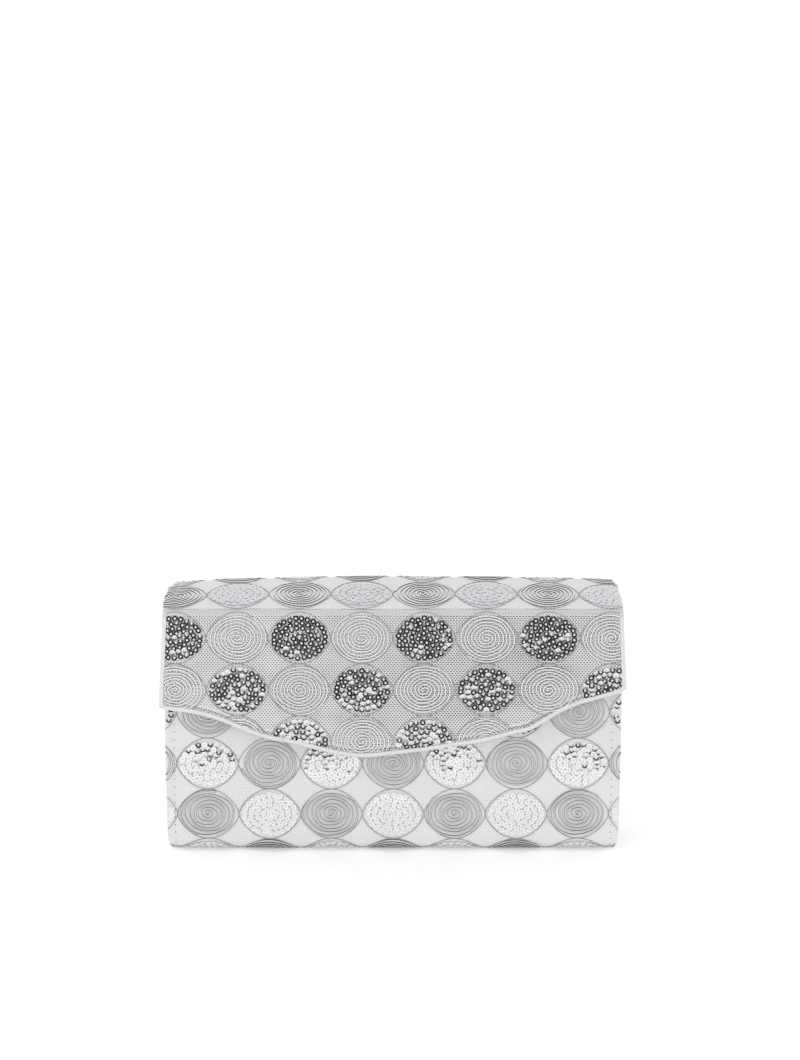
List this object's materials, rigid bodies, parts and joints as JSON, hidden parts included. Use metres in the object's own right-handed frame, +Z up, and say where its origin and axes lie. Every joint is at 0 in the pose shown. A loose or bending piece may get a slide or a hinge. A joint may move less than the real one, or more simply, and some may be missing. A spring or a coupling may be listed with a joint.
{
  "type": "envelope clutch evening bag",
  "caption": "Stiffened envelope evening clutch with pleated side gussets and a shallow V-shaped fold-over flap that closes with a magnetic snap.",
  "frame": {"origin": "centre of the bag's box at the underside of the base", "axes": "+X along the width, +Y from the flap's side to the back, +Z up; the flap and front panel face -Y"},
  "size_m": [0.232, 0.0564, 0.134],
  "materials": {
    "embroidered_mesh": "silver ground cloth under white mesh, with sequins and metallic cord",
    "silver_satin": "silver satin",
    "lining_satin": "pale grey satin lining",
    "foam": "thin padding foam",
    "board": "bag-makers' stiffening board",
    "nickel": "polished nickel plate"
  },
  "bodies": {
    "body": {"base_cover": "embroidered_mesh", "base_board": "board", "base_lining": "lining_satin", "back_cover": "embroidered_mesh", "back_foam": "foam", "back_board": "board", "back_lining": "lining_satin", "slip_pocket": "lining_satin", "pocket_binding": "silver_satin", "gusset_left": "silver_satin", "gusset_right": "silver_satin"},
    "front_panel": {"front_cover": "embroidered_mesh", "front_foam": "foam", "front_board": "board", "front_lining": "lining_satin", "snap_socket": "nickel", "snap_socket_washer": "nickel"},
    "spine": {"spine_cover": "embroidered_mesh", "spine_foam": "foam", "spine_board": "board", "spine_lining": "lining_satin"},
    "flap": {"flap_cover": "embroidered_mesh", "flap_foam": "foam", "flap_board": "board", "flap_lining": "lining_satin", "flap_edge_binding": "silver_satin", "snap_stud": "nickel", "snap_stud_washer": "nickel"}
  },
  "joints": [
    {"name": "front_panel_tilt", "type": "hinge", "parent": "body", "child": "front_panel", "pos_m": [0, -0.01855, 0.00323], "axis": [-1, 0, 0], "range_deg": [0, 8], "deforming": ["gusset_left", "gusset_right"]},
    {"name": "spine_fold", "type": "hinge", "parent": "body", "child": "spine", "pos_m": [0, 0.02016, 0.13278], "axis": [-1, 0, 0], "range_deg": [0, 178]},
    {"name": "flap_crease", "type": "hinge", "parent": "spine", "child": "flap", "pos_m": [0, -0.01624, 0.12557], "axis": [-1, 0, 0], "range_deg": [0, 64]}
  ]
}
